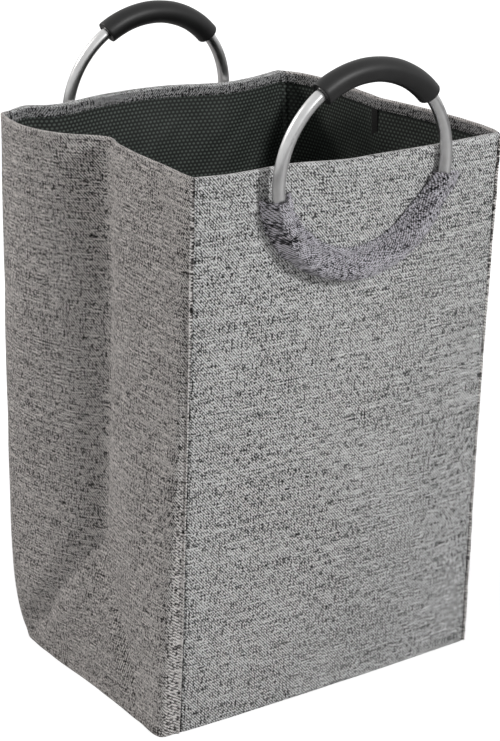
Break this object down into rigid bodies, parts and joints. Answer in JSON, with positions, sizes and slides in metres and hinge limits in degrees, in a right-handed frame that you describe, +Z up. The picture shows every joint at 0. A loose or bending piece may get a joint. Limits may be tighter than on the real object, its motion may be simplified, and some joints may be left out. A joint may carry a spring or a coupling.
{
  "type": "laundry hamper",
  "caption": "Tall fold-flat fabric laundry hamper, open at the top, with stiff lined panels, soft folded gussets and metal ring handles with foam grips.",
  "frame": {"origin": "on the floor, under the middle of the base", "axes": "+Z up, +X to the right along the front panel, -Y out of the front panel"},
  "size_m": [0.4136, 0.4407, 0.7013],
  "materials": {
    "melange_cloth": "woven grey melange polyester with fine horizontal slubs, matt",
    "dotted_lining": "dark green-black coated lining with a fine staggered dot, matt",
    "stiffener_board": "plain pressed sheet, unseen between the cloth and the lining",
    "webbing": "black woven tape, matt",
    "ring_tube": "satin anodised tube",
    "joiner_plastic": "moulded spigot, unseen inside the tube",
    "grip_foam": "closed-cell foam with a smooth matt skin"
  },
  "bodies": {
    "back": {"back_panel": "melange_cloth", "back_stiffener_board": "stiffener_board", "back_lining": "dotted_lining", "back_hem": "melange_cloth", "back_handle_sleeve": "melange_cloth", "left_gusset": "melange_cloth", "right_gusset": "melange_cloth", "left_gusset_lining": "dotted_lining", "right_gusset_lining": "dotted_lining", "left_hem": "melange_cloth", "right_hem": "melange_cloth", "left_gusset_tape": "webbing", "right_gusset_tape": "webbing"},
    "base_rear": {"base_cover_rear": "melange_cloth", "base_board_rear": "stiffener_board", "base_lining_rear": "dotted_lining"},
    "base_front": {"base_cover_front": "melange_cloth", "base_board_front": "stiffener_board", "base_lining_front": "dotted_lining"},
    "front": {"front_panel": "melange_cloth", "front_stiffener_board": "stiffener_board", "front_lining": "dotted_lining", "front_hem": "melange_cloth", "front_handle_sleeve": "melange_cloth"},
    "front_handle": {"front_handle_ring": "ring_tube", "front_ring_joiner": "joiner_plastic", "front_grip": "grip_foam"},
    "back_handle": {"back_handle_ring": "ring_tube", "back_ring_joiner": "joiner_plastic", "back_grip": "grip_foam"}
  },
  "joints": [
    {"name": "base_fold", "type": "hinge", "parent": "back", "child": "base_rear", "pos_m": [0, 0.1424, 0.0058], "axis": [-1, 0, 0], "range_deg": [0, 80], "deforming": ["left_gusset", "right_gusset", "left_gusset_lining", "right_gusset_lining", "left_hem", "right_hem", "left_gusset_tape", "right_gusset_tape"]},
    {"name": "base_middle_fold", "type": "hinge", "parent": "base_rear", "child": "base_front", "pos_m": [0, 0, 0], "axis": [-1, 0, 0], "range_deg": [-160, 0]},
    {"name": "front_fold", "type": "hinge", "parent": "base_front", "child": "front", "pos_m": [0, -0.1424, 0.0058], "axis": [-1, 0, 0], "range_deg": [0, 87.2]},
    {"name": "front_handle_turn", "type": "hinge", "parent": "front", "child": "front_handle", "pos_m": [0, -0.20519, 0.586], "axis": [0, -0.9979, -0.0649], "range_deg": [-27, 40]},
    {"name": "back_handle_turn", "type": "hinge", "parent": "back", "child": "back_handle", "pos_m": [0, 0.19487, 0.586], "axis": [0, -0.9925, -0.1219], "range_deg": [-27, 40]}
  ],
  "couplings": [
    {"joint": "base_middle_fold", "follows": "base_fold", "ratio": -2},
    {"joint": "front_fold", "follows": "base_fold", "ratio": 1.0894}
  ]
}
